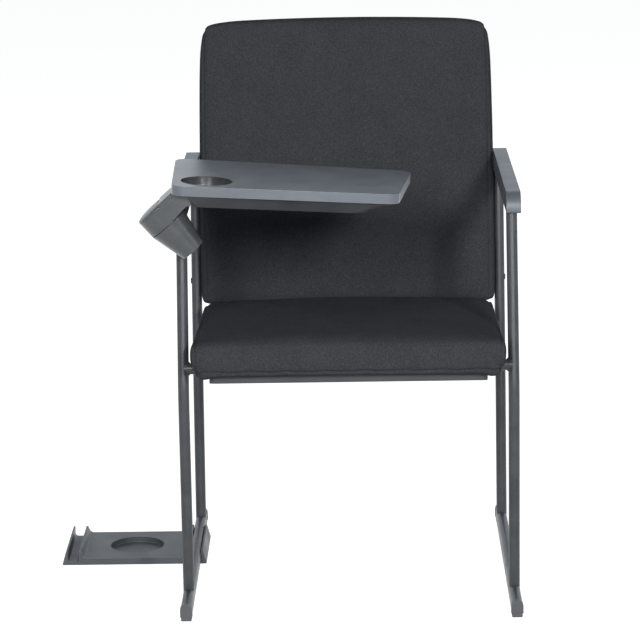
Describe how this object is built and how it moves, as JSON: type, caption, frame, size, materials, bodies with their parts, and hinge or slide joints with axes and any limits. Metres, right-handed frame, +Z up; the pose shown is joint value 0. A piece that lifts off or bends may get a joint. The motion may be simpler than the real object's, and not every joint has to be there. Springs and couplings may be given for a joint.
{
  "type": "visitor chair with writing tablet",
  "caption": "Sled-base visitor armchair: padded seat and back, a writing tablet with a round recess on a slanted hinge beside one armrest, and a floor plate that links chairs in a row.",
  "frame": {"origin": "on the floor, under the middle of the box round the whole chair with its tablet in use and its linking plate on", "axes": "+Z up, the chair faces -Y, +X to the right as seen from the front, which is the sitter's left"},
  "size_m": [0.7712, 0.6484, 0.8874],
  "materials": {
    "graphite_paint": "satin graphite powder coat",
    "grey_plastic": "satin, finely textured",
    "black_plastic": "satin",
    "black_fabric": "fine felted weave over foam",
    "plywood": "raw, hidden under the upholstery",
    "zinc_steel": "zinc plated",
    "nylon": "plain"
  },
  "bodies": {
    "chair": {"left_runner": "graphite_paint", "left_front_cap": "black_plastic", "left_front_glide": "black_plastic", "left_rear_cap": "black_plastic", "left_rear_glide": "black_plastic", "left_front_upright": "graphite_paint", "left_rear_upright": "graphite_paint", "left_armrest": "grey_plastic", "left_arm_bar": "graphite_paint", "left_front_arm_screw": "zinc_steel", "left_rear_arm_screw": "zinc_steel", "right_runner": "graphite_paint", "right_front_cap": "black_plastic", "right_front_glide": "black_plastic", "right_rear_cap": "black_plastic", "right_rear_glide": "black_plastic", "right_front_upright": "graphite_paint", "right_rear_upright": "graphite_paint", "right_armrest": "grey_plastic", "right_arm_bar": "graphite_paint", "right_front_arm_screw": "zinc_steel", "right_rear_arm_screw": "zinc_steel", "front_crossbar": "graphite_paint", "rear_crossbar": "graphite_paint", "left_seat_rail": "graphite_paint", "right_seat_rail": "graphite_paint", "seat_pan": "black_plastic", "seat_board": "plywood", "left_front_seat_screw": "zinc_steel", "left_rear_seat_screw": "zinc_steel", "right_front_seat_screw": "zinc_steel", "right_rear_seat_screw": "zinc_steel", "seat_cushion": "black_fabric", "back_board": "plywood", "back_cushion": "black_fabric", "back_shell": "black_plastic", "left_lower_back_bolt": "zinc_steel", "left_upper_back_bolt": "zinc_steel", "right_lower_back_bolt": "zinc_steel", "right_upper_back_bolt": "zinc_steel", "friction_washer": "nylon", "hinge_socket": "grey_plastic", "socket_plug": "black_plastic", "hinge_clamp": "grey_plastic", "left_clamp_screw": "zinc_steel", "right_clamp_screw": "zinc_steel"},
    "tablet": {"tablet_top": "grey_plastic", "tablet_undertray": "grey_plastic", "hinge_head": "grey_plastic", "head_dome": "grey_plastic", "pivot_bolt": "zinc_steel", "disc_spring": "zinc_steel", "lock_nut": "zinc_steel", "near_front_tablet_screw": "zinc_steel", "near_rear_tablet_screw": "zinc_steel", "far_front_tablet_screw": "zinc_steel", "far_rear_tablet_screw": "zinc_steel"},
    "link_plate": {"link_plate": "grey_plastic"}
  },
  "joints": [
    {"name": "tablet_swing", "type": "hinge", "parent": "chair", "child": "tablet", "pos_m": [-0.17802, -0.21644, 0.6301], "axis": [0.6626, 0, -0.749], "range_deg": [0, 180]},
    {"name": "link_plate_slide", "type": "slide", "parent": "chair", "child": "link_plate", "axis": [0, 1, 0], "range_m": [-0.27, 0.06]}
  ]
}
